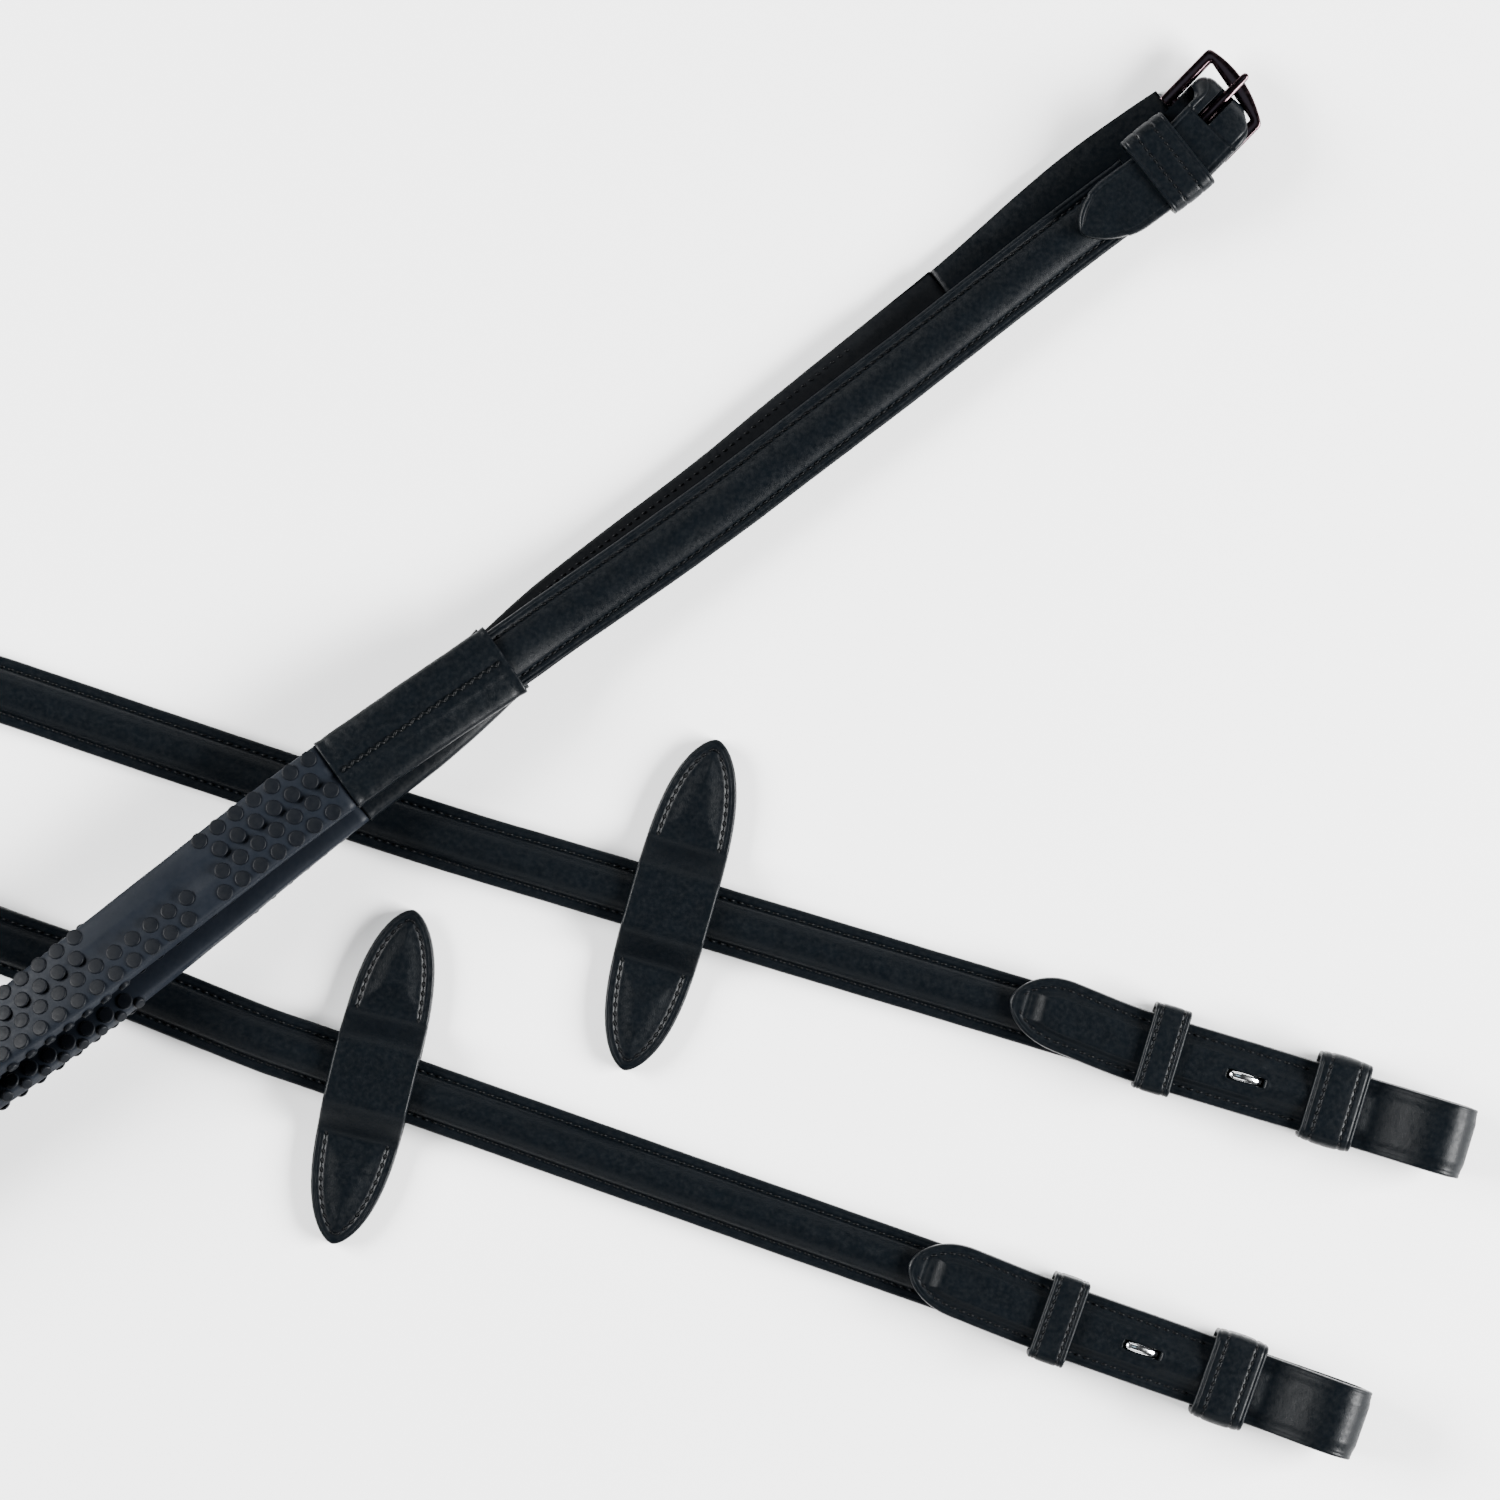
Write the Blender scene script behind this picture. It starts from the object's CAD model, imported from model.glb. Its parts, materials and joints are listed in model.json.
"""Leather reins: the leather, rubber, thread and metal of a pair of reins.

The design frame gives the places and the moving bodies. Every visible piece is a surface
worked out with numpy: a section carried along the route of a rein, or along a folded path.
Lengths in the formulas are millimetres; they turn into metres when a mesh is made.
"""
import json
import math

import bpy
import numpy as np
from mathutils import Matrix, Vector


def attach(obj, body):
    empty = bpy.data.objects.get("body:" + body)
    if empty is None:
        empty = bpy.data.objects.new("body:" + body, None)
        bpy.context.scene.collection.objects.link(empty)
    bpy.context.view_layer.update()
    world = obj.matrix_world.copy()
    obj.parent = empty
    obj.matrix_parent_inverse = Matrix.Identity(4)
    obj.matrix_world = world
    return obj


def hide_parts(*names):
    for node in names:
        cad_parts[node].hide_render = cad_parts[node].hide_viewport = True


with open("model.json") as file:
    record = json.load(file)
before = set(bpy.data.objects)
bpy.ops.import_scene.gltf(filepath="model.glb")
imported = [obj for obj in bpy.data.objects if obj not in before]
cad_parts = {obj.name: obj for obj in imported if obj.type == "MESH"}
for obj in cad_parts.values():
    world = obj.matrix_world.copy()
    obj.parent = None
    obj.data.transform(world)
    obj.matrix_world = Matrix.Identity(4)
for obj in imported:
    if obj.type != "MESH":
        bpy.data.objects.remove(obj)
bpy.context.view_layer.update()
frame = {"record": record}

bl_info = {
    "name": "Leather Reins",
    "version": (1, 0, 0),
    "blender": (4, 5, 0),
    "location": "View3D > Sidebar > Reins",
    "description": "Builds the leather, rubber and metal of a pair of reins",
    "category": "Add Mesh",
}

# Middle of the layout, which is the frame's origin.
CENTRE = np.array([-118.0, 0.0, 0.0])
UP = np.array([0.0, 0.0, 1.0])

# Distances along a half, from the bar of the hand buckle.
HAND_START = 20.0
POINT_START = 3.0
PLAIN_END = 75.0
SLEEVE_START = 219.0
GRIP_START = 270.0
GRIP_END = 870.0
SLEEVE_END = 921.0

# Distances back from the fold at a bit end: end of the padding, tip and slot of the billet.
PAD_END = 33.0
BILLET_TIP = 120.0
SLOT_AT = 58.0

# Heights at the bit ends.
STRAP_Z = 2.5
STRAP_TOP = 8.5
BILLET_Z = 8.7

# Half width of the plain point strap; half width and half thickness of a grip.
POINT_HALF = 8.0
GRIP_HALF = 9.35
GRIP_RISE = 2.85

# Distance of most stitches from an edge, length over which the padding of the point strap
# starts, and the distance from the middle of a rein stop where its flat part begins.
STITCH_INSET = 2.55
PAD_RISE = 26.0
LEAF_FLAT = 15.2

# Distances from the start of a grip: its dip, the stretch without studs on either side of
# the seam of its face, and the place where the studs of its back and edges begin.
DIP_AT = 47.0
BARE_LOW = (39.0, 74.0)
BARE_HIGH = (40.0, 47.0)
BACK_START = 72.0

# Routes of the two halves, buckle to bit end: x, y, z of the middle, and roll in degrees.
BUCKLE_ROUTE = [
    [111.8, 156, 7, 0], [98, 141.7, 7, 0], [91, 136.2, 7, 0.2], [77, 125.6, 7.2, 0.6],
    [57, 110, 7.7, 0.9], [36, 93.6, 7.8, 0.9], [15, 77.6, 7.9, 0.8], [-5.5, 62, 8, 0.6],
    [-26, 47.2, 8.6, 0], [-47, 32.6, 10, 0], [-61, 22.6, 12.2, 0], [-82, 8.2, 16, 2],
    [-103, -6.6, 17.5, 5], [-121, -20, 18.3, 9], [-138, -33.2, 19.2, 13], [-156, -47.2, 20.6, 18],
    [-172, -59.6, 21.2, 25], [-188, -71.8, 20, 34], [-206, -85.4, 17, 48], [-226, -99.6, 13.5, 68],
    [-248, -114.6, 10.6, 86], [-272, -129, 10, 90], [-300, -138, 10, 90], [-330, -139.5, 10, 90],
    [-359, -131.5, 10, 90], [-383, -114.5, 10, 90], [-400, -90, 10, 90], [-407, -61, 10, 90],
    [-405, -32, 10, 90], [-394, -5, 10, 90], [-375, 17, 10, 90], [-350, 32, 10, 90],
    [-321, 38, 10, 90], [-292, 33, 10, 90], [-268, 17, 10.3, 86], [-250, -5, 10.4, 74],
    [-234, -25, 10, 50], [-213, -38, 6.8, 24], [-187.5, -47.8, 4.3, 6], [-156, -58.8, 3.2, 0],
    [-124, -71.4, 5.5, 0], [-110.6, -76.1, 5.5, 0], [-94, -81.9, 5.5, 0],
]
POINT_ROUTE = [
    [108.5, 160, 2.5, 180], [97, 152.3, 2.5, 180], [84.9, 143.6, 2.5, 180],
    [72.8, 133.6, 2.5, 180], [52.6, 115.6, 2.5, 180], [32, 98.9, 2.5, 180],
    [11.4, 82.2, 2.5, 180], [-8.8, 65.6, 2.5, 180],
    [-28.5, 50.6, 2.6, 180], [-48.5, 35, 3.4, 180], [-61.3, 23.5, 5, 180], [-80, 6, 8.8, 181],
    [-100.5, -10, 10.3, 184], [-118, -24, 10.8, 187], [-134.5, -37.8, 11.5, 191],
    [-152, -52, 12.9, 195], [-168, -64.7, 13.8, 202], [-184, -77, 13.3, 212],
    [-203, -91.6, 11.8, 232], [-226, -108, 10.6, 252], [-250, -124, 10, 267],
    [-277, -139, 10, 270], [-306, -148, 10, 270], [-336, -149, 10, 270], [-365, -140, 10, 270],
    [-390, -121.4, 10, 270], [-407, -95, 10, 270], [-415, -65.5, 10, 270],
    [-413.5, -34.5, 10, 270], [-403, -5, 10, 270], [-383, 19, 10, 270], [-358, 36, 10, 270],
    [-328.5, 45.5, 10, 270], [-298, 46.5, 10, 272], [-268, 40.3, 10.4, 285],
    [-240, 31.6, 9.6, 312], [-214, 23.6, 6.6, 340], [-187.5, 15.2, 4.3, 354],
    [-150, 2.4, 3.3, 360], [-111, -10.6, 3.2, 360], [-92, -16.9, 3.7, 360], [-76, -22, 5, 360],
    [-63, -26, 5.5, 360], [-50, -29.8, 5.5, 360],
]


# ---------------------------------------------------------------- shapes

def unit(v):
    """Each vector divided by its length."""
    return v / np.linalg.norm(v, axis=-1, keepdims=True)


def ease(x):
    """A smooth step: 0 below 0, 1 above 1, with level ends."""
    x = np.clip(x, 0, 1)
    return x * x * (3 - 2 * x)


def dent(x, middle, width):
    """A bell of height 1 at middle, for grooves and creases."""
    return np.exp(-((x - middle) / width) ** 2)


def wander(s, seed, reach=1.0):
    """A slow wave for handmade unevenness: three sines of unlike length added together."""
    phases = np.random.default_rng(seed).uniform(0, 2 * math.pi, 3)
    waves = zip((61.0, 23.0, 9.7), (0.5, 0.32, 0.18), phases)
    return reach * sum(h * np.sin(2 * math.pi * s / length + p) for length, h, p in waves)


class Route:
    """A smooth curve through hand-picked points, measured by the distance along it."""

    def __init__(self, points, end, heading):
        """Between two points the curve is the cubic that leaves each one parallel to the
        line through its neighbours. The last stretch is straight, in the bit end's
        direction."""
        roll = points[-1][3]
        run = [[end[0] - d * math.cos(heading), end[1] - d * math.sin(heading), STRAP_Z + 3, roll]
               for d in (190, 150, 110, 70, PAD_END)]
        p = np.array(points + run, float)
        padded = np.vstack([p[:1], p, p[-1:]])
        a, b, c, d = (padded[k:len(p) + k - 1, None] for k in range(4))
        t = np.linspace(0, 1, 24, endpoint=False)[None, :, None]
        curve = 0.5 * (2 * b + (c - a) * t + (2 * a - 5 * b + 4 * c - d) * t ** 2
                       + (3 * b - a - 3 * c + d) * t ** 3)
        self.points = np.vstack([curve.reshape(-1, 4), p[-1:]])
        steps = np.linalg.norm(np.diff(self.points[:, :3], axis=0), axis=1)
        self.s = np.concatenate([[0], np.cumsum(steps)])
        self.length = self.s[-1]

    def spot(self, s):
        """The place at distance s."""
        return np.stack([np.interp(s, self.s, self.points[:, k]) for k in range(3)], -1) - CENTRE

    def section(self, s):
        """Place, direction, sideways direction and face direction at distance s. The face
        direction is up turned about the route by the roll."""
        along = unit(self.spot(np.minimum(s + 1, self.length)) - self.spot(np.maximum(s - 1, 0)))
        left = unit(np.cross(UP, along))
        up = np.cross(along, left)
        roll = np.radians(np.interp(s, self.s, self.points[:, 3]))[:, None]
        face = np.cos(roll) * up - np.sin(roll) * left
        side = np.cos(roll) * left + np.sin(roll) * up
        return self.spot(s), along, side, face

    def carry(self, s, loops):
        """Carry a section (across, thickness) along the route: one ring of points for each
        distance in s."""
        place, _, side, face = self.section(s)
        loops = np.broadcast_to(loops, (len(s),) + np.shape(loops)[-2:])
        return (place[:, None] + side[:, None] * loops[..., :1] + face[:, None] * loops[..., 1:])


class Place:
    """A level local frame: x along a heading, y to its left, z up."""

    def __init__(self, origin, heading):
        self.origin = np.array(origin, float)
        self.heading = heading
        c, s = math.cos(heading), math.sin(heading)
        self.turn = np.array([[c, s, 0], [-s, c, 0], [0, 0, 1]])

    def world(self, points):
        """Local points in the frame of the whole object."""
        return np.asarray(points) @ self.turn + self.origin

    def turned(self, angle, at=(0, 0, 0)):
        """This place moved to a local point and turned by an angle."""
        return Place(self.world(np.array(at, float)), self.heading + angle)


def fold(path, loops):
    """Carry a section along a path of local points. Sideways is up x direction, and the
    face direction is square to both."""
    along = unit(np.gradient(path, axis=0))
    side = unit(np.cross(UP, along))
    face = np.cross(along, side)
    loops = np.broadcast_to(loops, (len(path),) + np.shape(loops)[-2:])
    return path[:, None] + side[:, None] * loops[..., :1] + face[:, None] * loops[..., 1:]


def side_view(points):
    """A path given by x and z in the plane y = 0: its points, and its sideways and face
    directions."""
    path = np.stack([points[:, 0], np.zeros(len(points)), points[:, 1]], -1)
    along = unit(np.gradient(path, axis=0))
    face = np.stack([along[:, 2], np.zeros(len(path)), -along[:, 0]], -1)
    return path, np.cross(face, along), face


def closed_rings(a, bottom, top):
    """Rings that run along the bottom and back along the top: across and thickness."""
    return (np.concatenate([a, a[:, -2:0:-1]], 1),
            np.concatenate([bottom, top[:, -2:0:-1]], 1))


def ring_quads(index, wrap_rows=False):
    """Four-sided faces between closed rings of numbered points."""
    here = index if wrap_rows else index[:-1]
    there = np.roll(index, -1, 0) if wrap_rows else index[1:]
    quads = np.stack([here, np.roll(here, -1, 1), np.roll(there, -1, 1), there], -1)
    return quads.reshape(-1, 4)


class Form:
    """A mesh put together from grids of points."""

    def __init__(self):
        self.verts = []
        self.faces = []
        self.count = 0

    def add(self, verts, faces):
        """Take in loose points and the faces that join them."""
        self.verts.append(verts)
        self.faces += (faces + self.count).tolist()
        self.count += len(verts)

    def grid(self, points, wrap_rows=False):
        """Join rings of points into a tube. Each ring is closed; the ends are closed by
        fans, or the last ring joins the first."""
        rows, cols = points.shape[:2]
        index = np.arange(rows * cols).reshape(rows, cols)
        quads = ring_quads(index, wrap_rows)
        verts = points.reshape(-1, 3)
        if wrap_rows:
            self.add(verts, quads)
            return self
        ends = np.array([points[0].mean(0), points[-1].mean(0)])
        first, last = index[0], index[-1]
        fan = np.concatenate([
            np.stack([np.full(cols, rows * cols), np.roll(first, -1), first], -1),
            np.stack([np.full(cols, rows * cols + 1), last, np.roll(last, -1)], -1)])
        start = self.count
        self.add(np.vstack([verts, ends]), quads)
        self.faces += (fan + start).tolist()
        return self

    def build(self, name, slot, body, replaces=(), finish=None):
        """Make the object, in metres, and hand it to its body. Its finish is the slot's,
        unless another is named."""
        mesh = bpy.data.meshes.new(name)
        mesh.from_pydata((np.vstack(self.verts) / 1000).tolist(), [], self.faces)
        mesh.shade_smooth()
        mesh.materials.append(finish_of(finish or slot))
        obj = bpy.data.objects.new(name, mesh)
        bpy.context.scene.collection.objects.link(obj)
        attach(obj, body)
        if replaces:
            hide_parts(*replaces)
        return obj


def spread(parts):
    """Sample positions from (start, end, count) stretches, without repeats."""
    return np.unique(np.concatenate([np.linspace(*part) for part in parts]).round(5))


def across(half):
    """Positions across a strap, closer together near both edges."""
    near = min(half - 0.2, 4.6)
    right = spread([(0, half - near, 9), (half - near, half - 0.9, 22), (half - 0.9, half, 7)])
    return np.concatenate([-right[:0:-1], right])


def outline(a, top, low):
    """A closed ring, anticlockwise: flat underside, then the top from right to left."""
    half = a[-1]
    under = np.array([[-half + 0.25, low], [0, low], [half - 0.25, low], [half, low + 0.25]])
    upper = np.stack([a[::-1], top[::-1]], -1)
    return np.vstack([under, upper])


def edge_round(d, r):
    """Drop of the surface within r of an edge, as a quarter circle."""
    return r - np.sqrt(np.maximum(r * r - np.maximum(r - d, 0) ** 2, 0))


def padded_top(a, half, low, edge, crown):
    """Height across a padded strap: a flat stitched margin with a crease near the edge and
    a groove for the stitches, then a round dome."""
    margin = 3.4
    d = half - np.abs(a)
    t = np.clip((d - margin + 0.5) / (half - margin + 0.5), 0, 1)
    top = low + edge + (crown - low - edge) * (t * (2 - t)) ** 0.62
    top -= 0.3 * dent(d, STITCH_INSET, 0.42) + 0.13 * dent(d, 1.15, 0.2)
    return np.maximum(top - edge_round(d, 0.8), low + 0.3)


def slab_loop(half, low, high, r):
    """A closed ring with rounded corners of radius r."""
    q = np.linspace(0, math.pi / 2, 5)
    corner = np.stack([np.sin(q), 1 - np.cos(q)], -1) * r
    lower_right = np.array([half - r, low]) + corner
    upper_right = np.stack([half - corner[:, 1], high - r + corner[:, 0]], -1)
    right = np.vstack([lower_right, upper_right])
    return np.vstack([right, (right * [-1, 1])[::-1]])


# ---------------------------------------------------------------- stitches

def stitch_shape(length, thick):
    """One stitch: a six-sided thread that rises out of the leather and dips back into it."""
    x = np.linspace(-1, 1, 7)
    girth = thick * np.sqrt(1 - 0.9 * x ** 4)
    angle = np.arange(6) * math.pi / 3
    y = girth[:, None] * np.cos(angle)
    z = 0.9 * girth[:, None] * np.sin(angle) + thick * (0.75 - 1.35 * x[:, None] ** 2)
    verts = np.stack([np.broadcast_to(x[:, None] * length / 2, y.shape), y, z], -1)
    return verts.reshape(-1, 3), ring_quads(np.arange(42).reshape(7, 6))


def sew(form, line, normal, pitch, length=1.75, thick=0.27, slant=7.0, lift=0.0):
    """Lay stitches at an even pitch along a line of points on a surface. Each stitch is
    turned by the slant about the surface's normal."""
    steps = np.linalg.norm(np.diff(line, axis=0), axis=1)
    s = np.concatenate([[0], np.cumsum(steps)])
    count = max(int(s[-1] / pitch), 1)
    at = (np.arange(count) + 0.5) * s[-1] / count
    pick = lambda v: np.stack([np.interp(at, s, v[:, k]) for k in range(3)], -1)
    ahead = unit(pick(np.gradient(line, axis=0)))
    up = unit(pick(np.broadcast_to(normal, line.shape)))
    up = unit(up - ahead * np.sum(up * ahead, -1, keepdims=True))
    beside = np.cross(up, ahead)
    turn = math.radians(slant)
    x_axis = ahead * math.cos(turn) + beside * math.sin(turn)
    y_axis = np.cross(up, x_axis)
    verts, faces = stitch_shape(length, thick)
    world = (pick(line)[:, None] + x_axis[:, None] * verts[:, :1] + y_axis[:, None] * verts[:, 1:2]
             + up[:, None] * (verts[:, 2:] + lift))
    all_faces = faces[None] + (np.arange(count) * len(verts))[:, None, None]
    form.add(world.reshape(-1, 3), all_faces.reshape(-1, 4))


# ---------------------------------------------------------------- materials

def new_shader(name, **sockets):
    """A material with one Principled shader and its constants."""
    material = bpy.data.materials.new(name)
    material.use_nodes = True
    shader = material.node_tree.nodes["Principled BSDF"]
    for socket, value in sockets.items():
        shader.inputs[socket.replace("_", " ")].default_value = value
    return material, material.node_tree, shader


def noise(tree, scale, detail, stretch=None):
    """Noise on Object coordinates; scale counts features per metre."""
    coords = tree.nodes.new("ShaderNodeTexCoord")
    source = coords.outputs["Object"]
    if stretch:
        mapping = tree.nodes.new("ShaderNodeMapping")
        mapping.inputs["Scale"].default_value = stretch
        tree.links.new(source, mapping.inputs["Vector"])
        source = mapping.outputs["Vector"]
    node = tree.nodes.new("ShaderNodeTexNoise")
    node.inputs["Scale"].default_value = scale
    node.inputs["Detail"].default_value = detail
    node.inputs["Roughness"].default_value = 0.55
    tree.links.new(source, node.inputs["Vector"])
    return node.outputs["Fac"]


def cells(tree, scale):
    """Voronoi cells on Object coordinates, as in the grain of leather."""
    coords = tree.nodes.new("ShaderNodeTexCoord")
    node = tree.nodes.new("ShaderNodeTexVoronoi")
    node.feature = "DISTANCE_TO_EDGE"
    node.inputs["Scale"].default_value = scale
    tree.links.new(coords.outputs["Object"], node.inputs["Vector"])
    return node.outputs["Distance"]


def ramp(tree, value, low, high):
    """Carry noise, which stays mostly between 0.3 and 0.7, to the range low..high."""
    node = tree.nodes.new("ShaderNodeMapRange")
    node.inputs["From Min"].default_value = 0.3
    node.inputs["From Max"].default_value = 0.7
    node.inputs["To Min"].default_value = low
    node.inputs["To Max"].default_value = high
    tree.links.new(value, node.inputs["Value"])
    return node.outputs["Result"]


def tint(tree, value, dark, light):
    """A colour between dark and light."""
    node = tree.nodes.new("ShaderNodeMix")
    node.data_type = "RGBA"
    node.inputs["A"].default_value = (*dark, 1)
    node.inputs["B"].default_value = (*light, 1)
    tree.links.new(value, node.inputs["Factor"])
    return node.outputs["Result"]


def emboss(tree, shader, layers):
    """Stack bumps: (height, strength, distance in mm) from the finest to the broadest."""
    normal = None
    for height, strength, depth in layers:
        node = tree.nodes.new("ShaderNodeBump")
        node.inputs["Strength"].default_value = strength
        node.inputs["Distance"].default_value = depth / 1000
        tree.links.new(height, node.inputs["Height"])
        if normal:
            tree.links.new(normal, node.inputs["Normal"])
        normal = node.outputs["Normal"]
    tree.links.new(normal, shader.inputs["Normal"])


def weather(tree, shader, colour, mottle, shades, wear, roughs):
    """Colour that wanders between two shades of itself, and roughness that wanders between
    two values. Mottle and wear are the scale and detail of the noises."""
    dark, light = ([min(c * shade, 1) for c in colour] for shade in shades)
    tree.links.new(tint(tree, noise(tree, *mottle), dark, light), shader.inputs["Base Color"])
    tree.links.new(ramp(tree, noise(tree, *wear), *roughs), shader.inputs["Roughness"])


def leather(name, colour, rough=0.38, grain=1.0, coat=0.02):
    """Bridle leather: fine pebbled grain of small cells, pores, slow creases, colour and
    gloss that vary a little, and a thin wax coat."""
    material, tree, shader = new_shader(
        name, Coat_Weight=coat, Coat_Roughness=0.3, Specular_IOR_Level=0.09)
    weather(tree, shader, colour, (260, 6), (0.72, 1.45), (900, 5), (rough - 0.1, rough + 0.14))
    emboss(tree, shader, [
        (cells(tree, 2600), 0.32 * grain, 0.12),
        (noise(tree, 5200, 3), 0.22 * grain, 0.06),
        (noise(tree, 420, 5), 0.25 * grain, 0.35)])
    return material


def rubber(name, colour):
    """Matt moulded rubber with a dusty bloom and a fine rough skin."""
    material, tree, shader = new_shader(name, Specular_IOR_Level=0.08)
    weather(tree, shader, colour, (180, 6), (0.8, 1.35), (700, 4), (0.42, 0.6))
    emboss(tree, shader, [(noise(tree, 6500, 2), 0.25, 0.05), (noise(tree, 900, 4), 0.15, 0.15)])
    return material


def thread(name, colour):
    """Waxed thread: a twisted grain across a soft sheen."""
    material, tree, shader = new_shader(name, Specular_IOR_Level=0.08)
    weather(tree, shader, colour, (2400, 2), (0.6, 1.6), (1500, 2), (0.38, 0.6))
    emboss(tree, shader, [(noise(tree, 7000, 2), 0.4, 0.06)])
    return material


def metal(name, colour, rough):
    """Polished plated metal with fine rubbing marks and faint waves."""
    material, tree, shader = new_shader(name, Metallic=1.0, Coat_Weight=0.2, Coat_Roughness=0.08)
    weather(tree, shader, colour, (300, 3), (0.85, 1.15), (1100, 5), (rough * 0.6, rough * 1.7))
    emboss(tree, shader, [(noise(tree, 3800, 2, stretch=(1, 0.2, 1)), 0.06, 0.03),
                          (noise(tree, 220, 2), 0.12, 0.2)])
    return material


def woven(name, colour):
    """Hidden fibre: coarse mottled cloth."""
    material, tree, shader = new_shader(name, Sheen_Weight=0.2)
    weather(tree, shader, colour, (900, 4), (0.6, 1.4), (600, 3), (0.75, 0.95))
    emboss(tree, shader, [(cells(tree, 1400), 0.5, 0.2)])
    return material


MATERIALS = {}


def finish_of(slot):
    """The material of a slot, made once from the chosen colours."""
    if slot in MATERIALS:
        return MATERIALS[slot]
    look = bpy.context.scene.rein_looks
    makers = {
        "leather": lambda: leather("black_leather", look.leather),
        "lining_leather": lambda: leather("lining_leather", look.lining, 0.55, 0.7, 0.0),
        "rubber": lambda: rubber("grip_rubber", look.rubber),
        "studs": lambda: rubber("stud_rubber", [c * 0.45 for c in look.rubber]),
        "thread": lambda: thread("black_thread", look.thread),
        "gunmetal": lambda: metal("dark_plating", look.gunmetal, 0.16),
        "nickel": lambda: metal("nickel_plating", look.nickel, 0.12),
        "filler": lambda: woven("fibre_padding", (0.06, 0.06, 0.06)),
        "webbing": lambda: woven("webbing_core", (0.02, 0.02, 0.02)),
    }
    MATERIALS[slot] = makers[slot]()
    return MATERIALS[slot]


# ---------------------------------------------------------------- places

def mount(name):
    """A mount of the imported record."""
    return next(m for m in frame["record"]["mounts"] if m["name"] == name)


class Half:
    """One half of the reins: its name, its bit end, its rein stop, how far the tip of its
    billet lies aside, and its route."""

    def __init__(self, name, route, heading_sign, stop_at, stop_turn, tip_aside):
        fold_r = 7.2
        ring = mount(f"{name}_bit_ring")
        across_strap = np.array(ring["axis"]) * heading_sign
        heading = math.atan2(-across_strap[0], across_strap[1])
        middle = np.array(ring["pos_m"]) * 1000
        tip = middle + fold_r * np.array([math.cos(heading), math.sin(heading), 0])
        self.name = name
        self.end = Place([tip[0], tip[1], 0], heading)
        self.stop_at = stop_at
        self.tip_aside = tip_aside
        self.stop_turn = math.radians(stop_turn)
        self.route = Route(route, tip + CENTRE, heading)

    def nodes(self, *kinds):
        """Names of CAD nodes of this half."""
        return [f"{self.name}_{kind}" for kind in kinds]


HALVES = [
    Half("buckle", BUCKLE_ROUTE, -1, 261.8, 5.7, 0.9),
    Half("point", POINT_ROUTE, 1, 207.8, 0.8, 2.0),
]
BAR_JOINT = next(j for j in frame["record"]["behaviour"]["joints"] if j["name"] == "buckle_swing")
BAR = Place(np.array(BAR_JOINT["pos_m"]) * 1000,
            math.atan2(BAR_JOINT["axis"][0], -BAR_JOINT["axis"][1]))


# ---------------------------------------------------------------- straps

def padded_strap(half, name, s0, s1, width, thick, kinds, seed):
    """A padded strap: lining, top leather over its padding, and two rows of stitches."""
    sizes = bpy.context.scene.rein_sizes
    hw = width / 2
    low = 1.7 - thick / 2
    crown = thick / 2
    s = np.linspace(s0, s1, max(int((s1 - s0) / 1.8), 8))
    a = across(hw)
    top = padded_top(a, hw, low, 1.45, crown)
    loops = np.repeat(outline(a, top, low + 0.05)[None], len(s), 0)
    sway = wander(s, seed)[:, None]
    middle = ease((hw - np.abs(loops[..., 0]) - 3) / 3) * (loops[..., 1] > low + 0.5)
    loops[..., 0] *= 1 + 0.006 * sway
    loops[..., 1] += 0.07 * sway * middle + 0.05 * wander(s, seed + 1)[:, None] * middle * (
        loops[..., 0] / hw)
    Form().grid(half.route.carry(s, loops)).build(
        f"{half.name}_{name}_top", "leather", "root",
        half.nodes(f"{kinds}_cover"))
    under = np.repeat(slab_loop(hw - 0.08, -thick / 2, low, 0.6)[None], len(s), 0)
    if s0 == PLAIN_END:
        # the padding starts gently where the plain strap ends
        thin = (1 - ease((s - s0) / PAD_RISE))[:, None] * (under[..., 1] < low - 0.7)
        under[..., 1] += 1.55 * thin
    Form().grid(half.route.carry(s, under)).build(
        f"{half.name}_{name}_lining", "lining_leather", "root",
        half.nodes(f"{kinds}_lining"))
    rows = Form()
    pitch = sizes.stitch_pitch * 1000
    normal = half.route.section(s)[3]
    back = s >= s0 + (PAD_RISE if s0 == PLAIN_END else 0)
    for sign in (-1, 1):
        inset = sign * (hw - STITCH_INSET)
        at = np.array([[inset, np.interp(inset, a, top)]])
        sew(rows, half.route.carry(s, at)[:, 0], normal, pitch, slant=7 * sign)
        at_back = np.array([[inset, -thick / 2]])
        sew(rows, half.route.carry(s[back], at_back)[:, 0], -normal[back], pitch,
            slant=-7 * sign, lift=-0.12)
    rows.build(f"{half.name}_{name}_stitches", "thread", "root")


class REINS_OT_straps(bpy.types.Operator):
    """Build the padded hand straps and bit straps with their linings and stitches"""
    bl_idname = "reins.straps"
    bl_label = "Padded Straps"

    def execute(self, context):
        sizes = context.scene.rein_sizes
        for seed, half in enumerate(HALVES):
            start = PLAIN_END if half.name == "point" else HAND_START
            padded_strap(half, "hand_strap", start, SLEEVE_START + 20, sizes.hand_width * 1000,
                         5.0, "hand", 10 * seed + 1)
            padded_strap(half, "bit_strap", SLEEVE_END - 20, half.route.length,
                         sizes.bit_width * 1000, 6.0, "bit", 10 * seed + 5)
        return {"FINISHED"}


# ---------------------------------------------------------------- sleeves

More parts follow.
